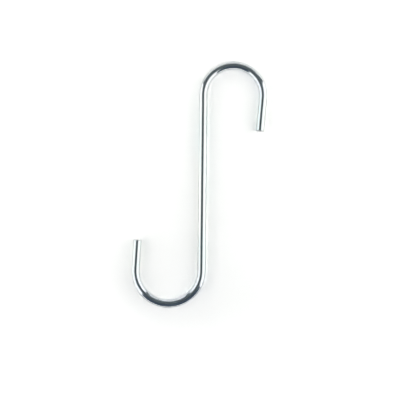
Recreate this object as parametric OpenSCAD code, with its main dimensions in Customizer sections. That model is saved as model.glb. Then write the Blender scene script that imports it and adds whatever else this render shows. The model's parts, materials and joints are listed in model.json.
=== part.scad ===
// S hook bent from one length of round wire.
//
// The hook lies flat, as it comes to rest on a table. The shank runs along +Y,
// the upper hook opens towards +X and the lower hook opens towards -X.
// The origin is under the middle of the hook's outline, on the surface it lies on.

/* [Wire] */
// Diameter of the round wire
wire_d = 4; // [2:0.5:6]
// How much thinner the wire is drawn where it is bent
bend_thinning = 0.02; // [0.02:0.01:0.1]
// Radius of the rounded edge at each cut end
end_edge_r = 0.4; // [0.1:0.1:0.9]

/* [Shank] */
// Length of the straight wire between the two bends
shank_l = 85.5; // [40:0.5:160]

/* [Upper hook] */
// Radius inside the bend that goes over the rail
upper_inner_r = 12.5; // [6:0.5:25]
// Angle that the bend goes past a half turn, which leans the tip in
upper_overbend = 4.5; // [0:0.5:10]
// Length of the straight leg, from the bend to the cut end
upper_leg_l = 16.25; // [5:0.25:30]

/* [Lower hook] */
// Radius inside the bend that carries the load
lower_inner_r = 14; // [6:0.5:25]
// Angle that the bend goes past a half turn, which leans the tip in
lower_overbend = 3; // [0:0.5:10]
// Length of the straight leg, from the bend to the cut end
lower_leg_l = 14; // [5:0.25:30]

/* [Hidden] */
$fn = 96;

half_turn = 180;
wire_r = wire_d / 2;
bent_wire_r = (wire_d - bend_thinning) / 2;
upper_bend_r = upper_inner_r + wire_r;
lower_bend_r = lower_inner_r + wire_r;

// Angle that each end of a bend runs on inside the straight wire. The two
// then share volume, and the wire is one solid right through.
run_in_angle = 0.5;

// Middle of the outline, measured from the foot of the straight shank
middle_x = upper_bend_r - lower_bend_r;
middle_y = (shank_l + upper_bend_r - lower_bend_r) / 2;

// Straight round wire along +Z
module straight_wire(length) {
    cylinder(r = wire_r, h = length);
}

// Round wire bent about +Z, from +X on through an angle
module bent_wire(bend_r, angle) {
    rotate([0, 0, -run_in_angle])
        rotate_extrude(angle = angle + 2 * run_in_angle)
            translate([bend_r, 0])
                circle(r = bent_wire_r);
}

// Half section of a leg, whose cut end is a flat face inside a rounded edge
module leg_section(length) {
    square([wire_r, length - end_edge_r]);
    square([wire_r - end_edge_r, length]);
    translate([wire_r - end_edge_r, length - end_edge_r])
        intersection() {
            circle(r = end_edge_r);
            square(end_edge_r);
        }
}

// Straight leg along +Z, from the bend to the cut end
module leg(length) {
    rotate_extrude()
        leg_section(length);
}

// One hook on the end of a shank that comes up +Y to the origin.
// The bend turns towards +X, and the leg comes back beside the shank.
module end_hook(bend_r, overbend, leg_l) {
    translate([bend_r, 0, 0])
        rotate([0, 0, -overbend]) {
            bent_wire(bend_r, half_turn + overbend);
            translate([bend_r, 0, 0])
                rotate([90, 0, 0])
                    leg(leg_l);
        }
}

module s_hook() {
    color("silver")
        translate([-middle_x, -middle_y, wire_r]) {
            rotate([-90, 0, 0])
                straight_wire(shank_l);
            translate([0, shank_l, 0])
                end_hook(upper_bend_r, upper_overbend, upper_leg_l);
            rotate([0, 0, half_turn])
                end_hook(lower_bend_r, lower_overbend, lower_leg_l);
        }
}

s_hook();
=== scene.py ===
# %% [markdown]
# # A bright plated S hook
#
# The hook is one length of round steel wire, bent to an S and plated bright. It lies flat on
# a white table, and the camera looks straight down on it. A bright metal has hardly any colour
# of its own: nearly all that it shows is the room around it. So the lesson has two halves. One
# is a clean mesh, because every flat facet would show in the reflections. The other is a
# studio that is worth reflecting.

# %% Load the fixed frame
import json
import math

import bmesh
import bpy
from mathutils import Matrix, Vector


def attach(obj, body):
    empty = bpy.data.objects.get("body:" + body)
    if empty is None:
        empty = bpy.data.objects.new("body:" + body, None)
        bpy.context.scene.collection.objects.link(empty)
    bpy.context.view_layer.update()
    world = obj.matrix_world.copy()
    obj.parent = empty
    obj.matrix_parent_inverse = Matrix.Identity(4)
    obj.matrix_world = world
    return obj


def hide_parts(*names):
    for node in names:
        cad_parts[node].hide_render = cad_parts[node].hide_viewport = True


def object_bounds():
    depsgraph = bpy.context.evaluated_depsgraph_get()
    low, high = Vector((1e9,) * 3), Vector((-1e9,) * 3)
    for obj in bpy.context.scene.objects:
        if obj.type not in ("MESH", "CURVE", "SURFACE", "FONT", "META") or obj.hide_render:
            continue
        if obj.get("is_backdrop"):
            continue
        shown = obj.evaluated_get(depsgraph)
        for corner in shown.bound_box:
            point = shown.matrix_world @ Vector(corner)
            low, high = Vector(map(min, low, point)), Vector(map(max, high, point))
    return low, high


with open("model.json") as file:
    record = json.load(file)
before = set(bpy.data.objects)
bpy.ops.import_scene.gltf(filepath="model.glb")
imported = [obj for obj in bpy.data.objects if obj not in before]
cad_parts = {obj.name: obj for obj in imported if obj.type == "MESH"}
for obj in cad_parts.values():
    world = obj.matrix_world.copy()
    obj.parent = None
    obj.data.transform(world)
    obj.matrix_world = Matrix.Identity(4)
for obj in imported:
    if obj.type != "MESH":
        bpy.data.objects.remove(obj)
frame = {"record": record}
cad_low, cad_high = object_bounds()
MM_PER_METRE = 1000


def mm(length):
    """A length in millimetres, rounded, to print it."""
    return round(MM_PER_METRE * length, 3)


print("construction's box, mm:", [mm(side) for side in cad_high - cad_low])

# %% [markdown]
# ## The camera
#
# The camera hangs over the table. A long lens from nearly half a metre away keeps the wire from
# looking tapered, as a portrait lens does with a face. The view is a square, larger than the
# hook. The hook lies a little above its middle, turned by about half a degree, as a hand
# leaves it.

# %% Hang the camera over the table
VIEW_WIDTH = 0.19425
SENSOR_WIDTH = 0.036
LENS = 0.085
HOOK_TURN = math.radians(0.62)
AIM_OFFSET = Vector((0.00041, -0.00755, 0))

aim = (cad_low + cad_high) / 2 + AIM_OFFSET
bpy.ops.object.camera_add(
    location=aim + Vector((0, 0, VIEW_WIDTH * LENS / SENSOR_WIDTH)),
    rotation=(0, 0, HOOK_TURN),
)
camera = bpy.context.object
camera.name = "overhead_camera"
camera.data.sensor_width = MM_PER_METRE * SENSOR_WIDTH
camera.data.lens = MM_PER_METRE * LENS
bpy.context.scene.camera = camera
bpy.context.scene.view_settings.view_transform = "Standard"
print("camera height, mm:", mm(camera.location.z))

# %% [markdown]
# ## Shaders written as sums
#
# A material is a graph of nodes, and most of its nodes only do sums. Placing each by hand
# hides the idea, so one small class wraps a node's output and lets Python's own signs add the
# Math nodes. One method adds any other node: it takes the node's type, its settings and what
# goes into its sockets.

# %% A socket that can do sums
class Value:
    """What comes out of a node. A sum on a number adds a Math node and gives its result."""

    def __init__(self, board, socket):
        self.board = board
        self.socket = socket

    def math(self, operation, *terms):
        return self.board.add("ShaderNodeMath", {"operation": operation}, dict(enumerate(terms)))

    def __add__(self, other):
        return self.math("ADD", self, other)

    def __radd__(self, other):
        return self.math("ADD", other, self)

    def __sub__(self, other):
        return self.math("SUBTRACT", self, other)

    def __rsub__(self, other):
        return self.math("SUBTRACT", other, self)

    def __mul__(self, other):
        return self.math("MULTIPLY", self, other)

    def __rmul__(self, other):
        return self.math("MULTIPLY", other, self)

    def __abs__(self):
        return self.math("ABSOLUTE", self)


print("signs that add a Math node: + - * and abs()")

# %% A board to add nodes to
class Board:
    """The node graph of a material or of the world, emptied to start with."""

    def __init__(self, owner):
        self.owner = owner
        owner.use_nodes = True
        self.tree = owner.node_tree
        self.tree.nodes.clear()

    def add(self, kind, settings=None, sockets=None, gives=0):
        """Adds a node, sets it and fills its sockets with numbers or with what others give.

        Sockets go by name, or by number where several share a name.
        """
        node = self.tree.nodes.new(kind)
        for name, value in (settings or {}).items():
            setattr(node, name, value)
        for name, value in (sockets or {}).items():
            if isinstance(value, Value):
                self.tree.links.new(value.socket, node.inputs[name])
            else:
                node.inputs[name].default_value = value
        if isinstance(gives, tuple):
            return [Value(self, node.outputs[name]) for name in gives]
        return Value(self, node.outputs[gives]) if node.outputs else node

    def ease(self, value, start, end):
        """Goes smoothly from 0 at one value to 1 at another."""
        return self.add(
            "ShaderNodeMapRange",
            {"interpolation_type": "SMOOTHSTEP"},
            {"Value": value, "From Min": start, "From Max": end},
        )

    def blend(self, share, first, second):
        """Mixes two colours by a share that may vary."""
        return self.add(
            "ShaderNodeMix",
            {"data_type": "RGBA"},
            {0: share, 6: first, 7: second},
            gives=2,
        )


def colour(red, green, blue):
    """A colour as a socket takes it, with a last number for how solid it is."""
    return (red, green, blue, 1)


print("white is", colour(1, 1, 1))

# %% [markdown]
# ## The studio
#
# A bright round wire is a mirror that shows the whole room, squeezed into its own width. Here
# the room is a tent of white light over a white table, under a grey roof that the camera looks
# down through. The roof draws the dark line along the straight wire. The front of the tent is
# hung with black, the roof spreads two wings towards the back, a low white cloth closes the
# back, and a grey post stands in each far corner. They draw the broad dark bands on the two
# bends, and the steps where those bands end. Without these dark parts, bright metal on a white
# table would hardly show.

# %% [markdown]
# ## White light
#
# The light is the world itself, a little stronger low down and on the right. Low light comes
# back from the wire's sides onto the table, and softens the shadow there. The light is brighter
# than one, because the plating keeps back a part of it, and the walls of the tent still have
# to come back from the wire as white. Where the camera sees the world directly, it is plain
# white.

# %% Light the room white
SKY_LIGHT = 1.27
RIGHT_SHARE = 0.02
LOW_SHARE = 0.3
HALF_WAY_UP = 0.5

sky = Board(bpy.data.worlds.new("white_room"))
bpy.context.scene.world = sky.owner
camera_ray = sky.add("ShaderNodeLightPath", gives="Is Camera Ray")
way = sky.add("ShaderNodeTexCoord", gives="Generated")
way_right, way_up = sky.add("ShaderNodeSeparateXYZ", sockets={0: way}, gives=("X", "Z"))
strength = SKY_LIGHT * (1 + RIGHT_SHARE * way_right + LOW_SHARE * (HALF_WAY_UP - way_up))
strength = strength + (1 - strength) * camera_ray
light = sky.add("ShaderNodeBackground", sockets={"Color": colour(1, 1, 1), "Strength": strength})
sky.add("ShaderNodeOutputWorld", sockets={"Surface": light})
print("room light:", SKY_LIGHT)

# %% [markdown]
# ## The table
#
# The table is a sheet of warm white card, far larger than the view, so that no edge shows. Its
# colour is raised for the camera and for rays that were mirrored or let through, and for no
# others. The open card then comes out white, with the soft shadow of the wire on it, and it
# throws no more light on the hook than a real card would. From just beyond the hook outwards
# the colour is raised further, so that the shade of the roof and the front fades into plain
# white, both from above and from the side.

# %% Lay the white table
TABLE_SIZE = 6.0
TABLE_WHITE = (0.91, 0.89, 0.865)
TABLE_GAIN = 1.30
FAR_GAIN = 1.5
FAR_START, FAR_END = 0.06, 0.13

bpy.ops.mesh.primitive_plane_add(size=TABLE_SIZE, location=(0, 0, cad_low.z))
table = bpy.context.object
table.name = "white_table"
top = Board(bpy.data.materials.new("white_table_top"))
table.data.materials.append(top.owner)
camera_ray, glossy_ray, through_ray = top.add(
    "ShaderNodeLightPath", gives=("Is Camera Ray", "Is Glossy Ray", "Is Transmission Ray")
)
spot = top.add("ShaderNodeTexCoord", gives="Object")
from_hook = top.add("ShaderNodeVectorMath", {"operation": "LENGTH"}, {0: spot}, gives="Value")
gain = TABLE_GAIN + FAR_GAIN * top.ease(from_hook, FAR_START, FAR_END)
raised = 1 + gain * (camera_ray + glossy_ray + through_ray)
red, green, blue = [share * raised for share in TABLE_WHITE]
white = top.add("ShaderNodeCombineColor", sockets={0: red, 1: green, 2: blue})
card = top.add("ShaderNodeBsdfDiffuse", sockets={"Color": white})
top.add("ShaderNodeOutputMaterial", sockets={"Surface": card})
table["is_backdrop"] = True
print("table height, mm:", mm(table.location.z))

# %% [markdown]
# ## The cloths
#
# The dark parts are real cards and are not painted on the world, so that each end of the hook
# sees them from its own place, as it does in a room. The side of a dark cloth that is turned
# away from the hook shines like the room, or a view from behind would show its shade on the
# table. The white cloth is thin, and lets some of the light behind it through. The camera
# doesn't see any of them, and so it can look in from every side.

# %% Dye the dark cloths
def dark_cloth(name, dye):
    """A matt cloth whose back shines like the room."""
    cloth = Board(bpy.data.materials.new(name))
    matt = cloth.add("ShaderNodeBsdfDiffuse", sockets={"Color": dye})
    lining = cloth.add("ShaderNodeEmission", sockets={"Strength": SKY_LIGHT})
    away = cloth.add("ShaderNodeNewGeometry", gives="Backfacing")
    both = cloth.add("ShaderNodeMixShader", sockets={0: away, 1: matt, 2: lining})
    cloth.add("ShaderNodeOutputMaterial", sockets={"Surface": both})
    return cloth.owner


grey_cloth = dark_cloth("grey_cloth", colour(0.165, 0.2, 0.215))
black_cloth = dark_cloth("black_cloth", colour(0.096, 0.125, 0.163))
print("dark cloths:", grey_cloth.name, black_cloth.name)

# %% Weave the white cloth
WHITE_CLOTH = colour(0.88, 0.9, 0.9)
LET_THROUGH = 0.25

thin = Board(bpy.data.materials.new("white_cloth"))
matt = thin.add("ShaderNodeBsdfDiffuse", sockets={"Color": WHITE_CLOTH})
glow = thin.add("ShaderNodeBsdfTranslucent", sockets={"Color": WHITE_CLOTH})
both = thin.add("ShaderNodeMixShader", sockets={0: LET_THROUGH, 1: matt, 2: glow})
thin.add("ShaderNodeOutputMaterial", sockets={"Surface": both})
white_cloth = thin.owner
print("share of light through", white_cloth.name, "is", LET_THROUGH)

# %% [markdown]
# ## The roof
#
# A round wire that lies on a table shows, along its middle, what hangs right above it. A long
# grey roof gives the straight wire its one dark line, and the white light beside the roof keeps
# that line narrow. Two wings make the roof wider towards the back, and with it the ends of the
# dark bands on the bends.

# %% Hang the roof
UPRIGHT = math.radians(90)
FACE_DOWN = (2 * UPRIGHT, 0, 0)
TENT_HEIGHT = 0.40
TENT_FRONT = -0.205
ROOF_MIDDLE = -0.06
ROOF_WIDTH = 0.47
ROOF_LENGTH = 1.0


def hang_cloth(name, cloth, centre, size, turn):
    """A flat card that the camera doesn't see.

    Before it turns, it faces up, and its size is given across and along.
    """
    bpy.ops.mesh.primitive_plane_add(size=1, location=centre, rotation=turn)
    card = bpy.context.object
    card.name = name
    card.scale = (*size, 1)
    card.data.materials.append(cloth)
    card.visible_camera = False
    card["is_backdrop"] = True


roof_centre = (ROOF_MIDDLE, TENT_FRONT + ROOF_LENGTH / 2, TENT_HEIGHT)
hang_cloth("grey_roof", grey_cloth, roof_centre, (ROOF_WIDTH, ROOF_LENGTH), FACE_DOWN)
print("roof hangs at, mm:", mm(TENT_HEIGHT))

# %% Spread the roof's wings
WINGS_MIDDLE = 0.435
WINGS_LENGTH = 0.43
RIGHT_WING, LEFT_WING = 0.165, 0.185

for name, side, width in (("right_wing", 1, RIGHT_WING), ("left_wing", -1, LEFT_WING)):
    wing_centre = (ROOF_MIDDLE + side * (ROOF_WIDTH + width) / 2, WINGS_MIDDLE, TENT_HEIGHT)
    hang_cloth(name, grey_cloth, wing_centre, (width, WINGS_LENGTH), FACE_DOWN)
    print(name, "reaches out to, mm:", mm(wing_centre[0] + side * width / 2))

# %% [markdown]
# ## The front and the back
#
# The straight wire shows only what is beside and above it, but a bend shows the front and the
# back as well. Black at the front draws the broad dark band of a bend. At the back a low white
# cloth, as high as a hand is wide, hides the far end of the roof from the upper bend, so that
# the band there ends in white. The front stands a little askew, as a cloth hung by hand does.

# %% Hang the black front
FRONT_LEFT = Vector((-0.14, -0.165, 0))
FRONT_RIGHT = Vector((0.235, -0.19, 0))

front_run = FRONT_RIGHT - FRONT_LEFT
front_centre = (FRONT_LEFT + FRONT_RIGHT) / 2 + Vector((0, 0, TENT_HEIGHT / 2))
front_turn = (-UPRIGHT, 0, math.atan2(front_run.y, front_run.x))
hang_cloth("black_front", black_cloth, front_centre, (front_run.length, TENT_HEIGHT), front_turn)
print("front is turned by", round(math.degrees(front_turn[2]), 1), "degrees")

# %% Stand the low white back
BACK_PLACE = 0.14
BACK_MIDDLE = 0.0
BACK_WIDTH = 0.31
BACK_HEIGHT = 0.088

back_centre = (BACK_MIDDLE, BACK_PLACE, BACK_HEIGHT / 2)
hang_cloth("white_back", white_cloth, back_centre, (BACK_WIDTH, BACK_HEIGHT), (UPRIGHT, 0, 0))
print("back is as high as, mm:", mm(BACK_HEIGHT))

# %% [markdown]
# ## The posts
#
# A grey post stands in each far corner and faces the hook. Each adds a short dark step to the
# end of a band, as the leg of a real tent would.

# %% Stand the posts in the far corners
LEFT_POST = (-0.27, 0.225, 0.075)
RIGHT_POST = (0.165, 0.15, 0.05)

for name, (across, back, width) in (("left_post", LEFT_POST), ("right_post", RIGHT_POST)):
    facing = math.atan2(across, back)
    post_centre = (across, back, TENT_HEIGHT / 2)
    hang_cloth(name, grey_cloth, post_centre, (width, TENT_HEIGHT), (UPRIGHT, 0, -facing))
    print(name, "is turned by", round(math.degrees(facing)), "degrees")

# %% [markdown]
# ## The wire
#
# A hook maker cuts a straight length of drawn wire, breaks the sharp edge of each cut end and
# then bends it. The mesh is made in the same order, because everything that runs along the wire
# is easier to make while it is straight. The sizes are read from the construction, where a
# mount names each leg and each inner bend.

# %% Read the hook's sizes from the frame
mounts = {mount["name"]: mount for mount in frame["record"]["mounts"]}
WIRE_R = mounts["upper_leg"]["dims"]["r_mm"] / MM_PER_METRE
END_EDGE_R = 0.0004


def hook_sizes(name):
    """The bend's centre and radius and the leg's direction and length, at one of the ends."""
    saddle, leg = mounts[name + "_saddle"], mounts[name + "_leg"]
    inner_r = saddle["dims"]["r_mm"] / MM_PER_METRE
    centre = Vector(saddle["pos_m"]) + inner_r * Vector(saddle["axis"])
    leg_length = leg["dims"]["length_mm"] / MM_PER_METRE + END_EDGE_R
    return centre, inner_r + WIRE_R, Vector(leg["axis"]), leg_length


upper_centre, upper_r, upper_way, upper_leg = hook_sizes("upper")
lower_centre, lower_r, lower_way, lower_leg = hook_sizes("lower")
shank_length = upper_centre.y - lower_centre.y
upper_turn = math.pi + math.atan2(-upper_way.x, -upper_way.y)
lower_turn = math.pi + math.atan2(lower_way.x, lower_way.y)
upper_bend_end = upper_leg + upper_r * upper_turn
lower_bend_start = upper_bend_end + shank_length
lower_bend_end = lower_bend_start + lower_r * lower_turn
cut_length = lower_bend_end + lower_leg
print("cut length, mm:", mm(cut_length))
print("turns, degrees:", round(math.degrees(upper_turn), 2), round(math.degrees(lower_turn), 2))

# %% [markdown]
# ## Cutting the wire
#
# The straight wire is a cylinder along X, which starts at zero, so that a point's X is simply
# its way along the wire. It has many sides: on bright metal a flat facet shows as a straight
# streak in the reflection, long before it shows in the outline.

# %% Cut the straight wire
SIDES = 64

bpy.ops.object.select_all(action="DESELECT")
bpy.ops.mesh.primitive_cylinder_add(
    vertices=SIDES,
    radius=WIRE_R,
    depth=cut_length,
    location=(cut_length / 2, 0, 0),
    rotation=(0, math.radians(90), 0),
)
wire = bpy.context.object
wire.name = "plated_hook"
bpy.ops.object.transform_apply(location=True, rotation=True, scale=True)


def pick_edges(wanted):
    """Selects the edges of the mesh in edit mode whose two ends pass a test, and counts them."""
    bpy.ops.mesh.select_mode(type="EDGE")
    bpy.ops.mesh.select_all(action="DESELECT")
    mesh = bmesh.from_edit_mesh(bpy.context.edit_object.data)
    for edge in mesh.edges:
        edge.select_set(wanted(edge.verts[0].co, edge.verts[1].co))
    mesh.select_flush_mode()
    bmesh.update_edit_mesh(bpy.context.edit_object.data)
    return sum(edge.select for edge in mesh.edges)


print("straight wire, mm:", [mm(side) for side in wire.dimensions])

# %% [markdown]
# ## The cut ends
#
# A cropped wire has a sharp rim and a face that isn't quite flat: the blade drags the edge over
# and tears the middle. A bevel rounds the rim, as tumbling does to the real one. Two insets
# then give the face its turned-in edge and its shallow middle, a twentieth of a millimetre
# deep, which is enough to catch the light.
#
# Each step enters edit mode and leaves it again. Blender then puts the mesh in order in
# between, and every run gives its faces in the same order.

# %% Round the rims
RIM_STEPS = 6

bpy.ops.object.mode_set(mode="EDIT")
picked = pick_edges(lambda a, b: abs(a.x - b.x) < WIRE_R)
bpy.ops.mesh.bevel(offset=END_EDGE_R, segments=RIM_STEPS, affect="EDGES")
bpy.ops.object.mode_set(mode="OBJECT")
print("edges of the two rims:", picked)

# %% Crop the faces
CROP_INSETS = ((0.00030, -0.00003), (0.00045, -0.00002))
END_ON = 0.999

bpy.ops.object.mode_set(mode="EDIT")
bpy.ops.mesh.select_mode(type="FACE")
bpy.ops.mesh.select_all(action="DESELECT")
mesh = bmesh.from_edit_mesh(wire.data)
for face in mesh.faces:
    face.select_set(abs(face.normal.x) > END_ON and len(face.verts) == SIDES)
bmesh.update_edit_mesh(wire.data)
for inset, depth in CROP_INSETS:
    bpy.ops.mesh.inset(thickness=inset, depth=depth)
bpy.ops.object.mode_set(mode="OBJECT")
print("faces in the wire:", len(wire.data.polygons))

# %% [markdown]
# ## Rings along the wire
#
# A bend needs something to bend: rings about a millimetre apart. Subdividing the long edges
# alone gives them, in two passes, and leaves the ends as they are.

# %% Give the wire its rings
COARSE_CUTS, FINE_CUTS = 14, 13

bpy.ops.object.mode_set(mode="EDIT")
for cuts in (COARSE_CUTS, FINE_CUTS):
    long_edges = pick_edges(lambda a, b: abs(a.x - b.x) > 2 * WIRE_R)
    bpy.ops.mesh.subdivide(number_cuts=cuts)
    print("long edges cut:", long_edges)
bpy.ops.mesh.select_all(action="SELECT")
bpy.ops.mesh.normals_make_consistent(inside=False)
bpy.ops.object.mode_set(mode="OBJECT")

# %% [markdown]
# ## Remembering the straight wire
#
# Drawing lines run along the wire and go round the bends with it. Each point keeps its place on
# the straight wire as an attribute of the mesh, and the plating's patterns read that instead of
# the place where the point ends up.

# %% Remember the straight wire
STRAIGHT_PLACE = "straight_place"

straight = wire.data.attributes.new(STRAIGHT_PLACE, "FLOAT_VECTOR", "POINT")
for point, vertex in zip(straight.data, wire.data.vertices):
    point.vector = vertex.co
print("places kept:", len(straight.data))

# %% [markdown]
# ## Not quite true
#
# A perfect cylinder draws a reflection with ruled edges, and looks computed. Real wire swells
# and thins by a few hundredths of a millimetre over a few millimetres, and its reflections
# waver with it. A Displace modifier with a soft cloud texture does this to the shape itself,
# by no more than a fortieth of a millimetre either way.

# %% Let the wire swell and thin
SWELL = 0.00005
SWELL_LENGTH = 0.006

clouds = bpy.data.textures.new("slow_swell", "CLOUDS")
clouds.noise_scale = SWELL_LENGTH
clouds.noise_depth = 0
uneven = wire.modifiers.new("uneven", "DISPLACE")
uneven.texture = clouds
uneven.texture_coords = "LOCAL"
uneven.strength = SWELL
bpy.context.view_layer.objects.active = wire
bpy.ops.object.modifier_apply(modifier=uneven.name)
thickest = max(math.hypot(vertex.co.y, vertex.co.z) for vertex in wire.data.vertices)
print("thickest the wire gets, mm:", mm(2 * thickest))

# %% [markdown]
# ## The middle line
#
# The hook's middle line is a straight leg, an arc, the straight shank, a second arc and the
# other leg. A Bezier curve can't be an exact circle, but six pieces an arc, with handles of the
# usual length, are off by less than a thousandth of a millimetre.

# %% Draw the middle line of the hook
def arc_points(centre, radius, start, end, count):
    """Points round an arc, as (place, handle behind, handle ahead)."""
    step = (end - start) / count
    reach = 4 / 3 * math.tan(step / 4) * radius
    points = []
    for index in range(count + 1):
        angle = start + step * index
        out = Vector((math.cos(angle), math.sin(angle), 0))
        along = Vector((-math.sin(angle), math.cos(angle), 0))
        place = centre + radius * out
        points.append((place, place - reach * along, place + reach * along))
    return points


ARC_PIECES = 6
STEPS_A_PIECE = 64

upper_arc = arc_points(upper_centre, upper_r, math.pi - upper_turn, math.pi, ARC_PIECES)
lower_arc = arc_points(lower_centre, lower_r, 0, -lower_turn, ARC_PIECES)
upper_tip = upper_arc[0][0] + upper_leg * upper_way
lower_tip = lower_arc[-1][0] + lower_leg * lower_way
route = [(upper_tip, upper_tip, upper_tip), *upper_arc]
route += [*lower_arc, (lower_tip, lower_tip, lower_tip)]

middle_line = bpy.data.curves.new("middle_line", "CURVE")
middle_line.dimensions = "3D"
middle_line.twist_mode = "Z_UP"
middle_line.resolution_u = STEPS_A_PIECE
spline = middle_line.splines.new("BEZIER")
spline.bezier_points.add(len(route) - 1)
for knot, (place, behind, ahead) in zip(spline.bezier_points, route):
    knot.co, knot.handle_left, knot.handle_right = place, behind, ahead
guide = bpy.data.objects.new("middle_line", middle_line)
bpy.context.collection.objects.link(guide)
print("knots in the middle line:", len(route))

# %% [markdown]
# ## Bending
#
# The Curve modifier lays the straight wire along the middle line, as a bending jig lays the
# real one round its pins. It is applied at once, so that the hook is a plain mesh, and the
# guide is thrown away. Nothing on the hook turns by forty degrees in one step, not even the
# rims, so all of it shades smooth.

# %% Bend the wire along it
SMOOTH_BELOW = math.radians(40)

bend = wire.modifiers.new("bend", "CURVE")
bend.object = guide
bend.deform_axis = "POS_X"
bpy.ops.object.modifier_apply(modifier=bend.name)
bpy.data.objects.remove(guide)
bpy.ops.object.select_all(action="DESELECT")
wire.select_set(True)
bpy.ops.object.shade_smooth_by_angle(angle=SMOOTH_BELOW)
print("points in the wire:", len(wire.data.vertices))

# %% [markdown]
# ## The plating
#
# After bending, the hook is plated with zinc and dipped in a clear blue rinse. Zinc is a little
# darker than silver and faintly blue. The rinse leaves a film so thin that it tints the metal,
# and the tint drifts along the wire, because the film isn't equally thick all over. The colours
# are mixed first, and the wear and the fine lines come after them, each as a mask from 0 to 1.

# %% Read the straight wire in the plating
plating = Board(bpy.data.materials.new("bright_plating"))
wire.data.materials.append(plating.owner)
unbent = plating.add("ShaderNodeAttribute", {"attribute_name": STRAIGHT_PLACE}, gives="Vector")
along = plating.add("ShaderNodeSeparateXYZ", sockets={0: unbent}, gives="X")


def grain(cells_along, cells_across, detail=1.0):
    """Soft noise from 0 to 1 on the straight wire, with so many grains to the metre each way.

    More detail lays finer grains over them.
    """
    cells = (cells_along, cells_across, cells_across)
    spot = plating.add("ShaderNodeVectorMath", {"operation": "MULTIPLY"}, {0: unbent, 1: cells})
    return plating.add("ShaderNodeTexNoise", sockets={"Vector": spot, "Scale": 1.0, "Detail": detail})


print("the patterns read:", STRAIGHT_PLACE)

# %% [markdown]
# ## Where the wire was bent
#
# The outside of a bend is stretched and the inside is squeezed, so the surface there is a
# little rougher and its film a little thicker, which turns it towards lilac. A mask that is 1
# round each bend and 0 on the straights lets the other patterns know. The two cut faces get a
# mask of their own.

# %% Mask the bends and the ends
BEND_FADE = 0.006
FACE_DEPTH = 0.00025

on_upper = 1 - plating.ease(along, upper_bend_end - BEND_FADE, upper_bend_end + BEND_FADE)
on_upper = on_upper * plating.ease(along, upper_leg - BEND_FADE, upper_leg + BEND_FADE)
on_lower = 1 - plating.ease(along, lower_bend_end - BEND_FADE, lower_bend_end + BEND_FADE)
on_lower = on_lower * plating.ease(along, lower_bend_start - BEND_FADE, lower_bend_start + BEND_FADE)
bent = on_upper + on_lower
from_middle = abs(along - cut_length / 2)
cropped = plating.ease(from_middle, cut_length / 2 - END_EDGE_R, cut_length / 2 - FACE_DEPTH)
bend_limits = (upper_leg, upper_bend_end, lower_bend_start, lower_bend_end)
print("bends start and end at, mm:", [mm(limit) for limit in bend_limits])

# %% [markdown]
# ## The tint
#
# Three close colours do it: a blue white, a straw white and a lilac. Slow noise chooses between
# the first two, patch by patch, and the bend's mask brings in the third, less of it where the
# film is straw. They differ by less than a tenth. More would look like oil on water.

# %% Tint the zinc
BLUE_ZINC = colour(0.75, 0.84, 0.845)
STRAW_ZINC = colour(0.815, 0.84, 0.825)
LILAC_ZINC = colour(0.78, 0.8, 0.865)
CROPPED_STEEL = colour(0.62, 0.65, 0.66)

PATCH_GRAIN = (28, 170)
PATCH_EDGE = (0.35, 0.65)
LILAC_SHARE = 0.7
LESS_ON_STRAW = 0.5

drift = plating.ease(grain(*PATCH_GRAIN), *PATCH_EDGE)
zinc = plating.blend(drift, BLUE_ZINC, STRAW_ZINC)
zinc = plating.blend(LILAC_SHARE * bent * (1 - LESS_ON_STRAW * drift), zinc, LILAC_ZINC)
print("share of blue light that comes back:", BLUE_ZINC[2], STRAW_ZINC[2], LILAC_ZINC[2])

# %% [markdown]
# ## Drawing lines
#
# The die leaves lines along the wire, about a tenth of a millimetre apart, and plating softens
# them without hiding them. They are a noise with very long and very narrow grains. The bends
# have a faint ripple as well, and the cropped faces a torn grain, both with grains that are as
# wide as they are long.

# %% Draw the fine lines
LINES_PER_METRE = 9000
LINE_GRAIN = (22, LINES_PER_METRE, 2.0)
RIPPLE_GRAIN = (1300, 1300)
TORN_GRAIN = (4000, 4000, 4.0)

die_lines = grain(*LINE_GRAIN)
ripple = grain(*RIPPLE_GRAIN) * bent
torn = grain(*TORN_GRAIN) * cropped
print("die lines are this far apart, mm:", mm(1 / LINES_PER_METRE))

# %% [markdown]
# ## Wear
#
# Handling adds dull patches and a few hair scratches, and the bath a few pits. A hair scratch
# is a thin contour of a long noise: only where the noise is almost exactly a half. Pits are the
# middles of the cells in a Voronoi pattern. Scratches keep to patches of their own and pits to
# the dull ones, which keeps both few.

# %% Add the wear
DULL_GRAIN, DULL_EDGE = (120, 420, 2.0), (0.5, 0.72)
HAIR_GRAIN, HAIR_LEVEL, HAIR_WIDTH = (160, 700), 0.5, 0.006
HAIR_PATCH_GRAIN, HAIR_PATCH_EDGE = (60, 200), (0.45, 0.6)
PITS_PER_METRE, PIT_EDGE = 700.0, (0.05, 0.12)

dull = plating.ease(grain(*DULL_GRAIN), *DULL_EDGE)
hair = 1 - plating.ease(abs(grain(*HAIR_GRAIN) - HAIR_LEVEL), 0.0, HAIR_WIDTH)
hair = hair * plating.ease(grain(*HAIR_PATCH_GRAIN), *HAIR_PATCH_EDGE)
from_pit = plating.add(
    "ShaderNodeTexVoronoi",
    {"feature": "F1"},
    {"Vector": unbent, "Scale": PITS_PER_METRE},
)
pits = (1 - plating.ease(from_pit, *PIT_EDGE)) * dull
print("a pit is this wide, mm:", mm(2 * PIT_EDGE[1] / PITS_PER_METRE))

# %% [markdown]
# ## What the masks do
#
# A mask can do three things: let bare steel show, make the surface rougher, and raise it or
# cut into it. Each of the three is a sum of masks, and the share before a mask says how
# strongly it acts. Steel comes first. It shows a little along the die lines, more in scratches
# and pits, and most on the cropped faces, where the zinc is thin.

# %% Let the steel show
LINES_BARE, HAIR_BARE, PITS_BARE, FACES_BARE = 0.10, 0.25, 0.5, 0.7

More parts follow.
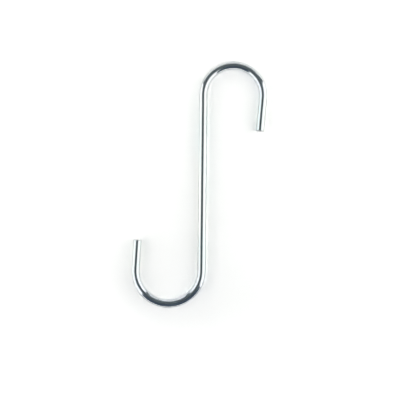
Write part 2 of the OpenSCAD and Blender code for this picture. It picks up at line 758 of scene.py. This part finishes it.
bare = LINES_BARE * die_lines + HAIR_BARE * hair + PITS_BARE * pits
worn = plating.blend(bare, zinc, CROPPED_STEEL)
base_colour = plating.blend(FACES_BARE * cropped, worn, CROPPED_STEEL)
print("share of steel on a cropped face:", FACES_BARE)

# %% [markdown]
# ## Bright, but not a mirror
#
# Fresh zinc is nearly a mirror. Its slight roughness is what lets a thin dark line in the
# reflection stay dark and yet have soft edges. The dull patches, the bends and the scratches
# are rougher, and the cropped faces roughest of all.

# %% Make it rough
FRESH_ROUGH = 0.08
LINES_ROUGH, DULL_ROUGH, BENDS_ROUGH, HAIR_ROUGH, FACES_ROUGH = 0.03, 0.04, 0.02, 0.15, 0.22

roughness = FRESH_ROUGH + LINES_ROUGH * die_lines + DULL_ROUGH * dull + BENDS_ROUGH * bent
roughness = roughness + HAIR_ROUGH * hair + FACES_ROUGH * cropped
print("roughness of a cropped face:", round(FRESH_ROUGH + FACES_ROUGH, 2))

# %% [markdown]
# ## Relief
#
# The relief is far too fine for the mesh. A Bump node tilts the light instead, as if the
# surface rose and fell by a few thousandths of a millimetre, and on the cropped faces by about
# two hundredths.

# %% Raise the relief
RELIEF_HEIGHT = 0.000004
LINES_RISE, HAIR_DEPTH, PITS_DEPTH, RIPPLE_RISE, TORN_RISE = 0.35, 0.8, 2, 1.2, 6

relief = LINES_RISE * die_lines - HAIR_DEPTH * hair - PITS_DEPTH * pits
relief = relief + RIPPLE_RISE * ripple + TORN_RISE * torn
bump = plating.add("ShaderNodeBump", sockets={"Height": relief, "Distance": RELIEF_HEIGHT})
print("a pit is this deep, mm:", mm(PITS_DEPTH * RELIEF_HEIGHT))

# %% [markdown]
# ## The finished metal
#
# One metal shader takes all of this in its sockets. Its Specular Tint, which for a metal is its
# colour where it is seen nearly from the side, is set dark. That is painted shade: it gives the
# wire its fine grey outline, darker than the mirrored table beside the wire would make it.

# %% Plate the hook
# Painted shade: a near-black tint at grazing angles draws the wire's grey outline.
PAINTED_OUTLINE_SHADE = colour(0.05, 0.06, 0.07)

metal = plating.add(
    "ShaderNodeBsdfPrincipled",
    sockets={
        "Base Color": base_colour,
        "Metallic": 1.0,
        "Roughness": roughness,
        "Specular Tint": PAINTED_OUTLINE_SHADE,
        "Normal": bump,
    },
)
plating.add("ShaderNodeOutputMaterial", sockets={"Surface": metal})
print("nodes in the plating:", len(plating.tree.nodes))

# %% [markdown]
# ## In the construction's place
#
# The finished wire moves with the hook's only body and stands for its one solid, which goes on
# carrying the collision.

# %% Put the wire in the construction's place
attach(wire, "root")
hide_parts("s_hook")
print(wire.name, "has", len(wire.data.polygons), "faces")

# %% [markdown]
# ## Measuring
#
# The dressed hook has to be as large as the construction says. Both boxes are printed.

# %% Measure the result
visual_low, visual_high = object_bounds()
print("visual box, mm:", [mm(side) for side in visual_high - visual_low])
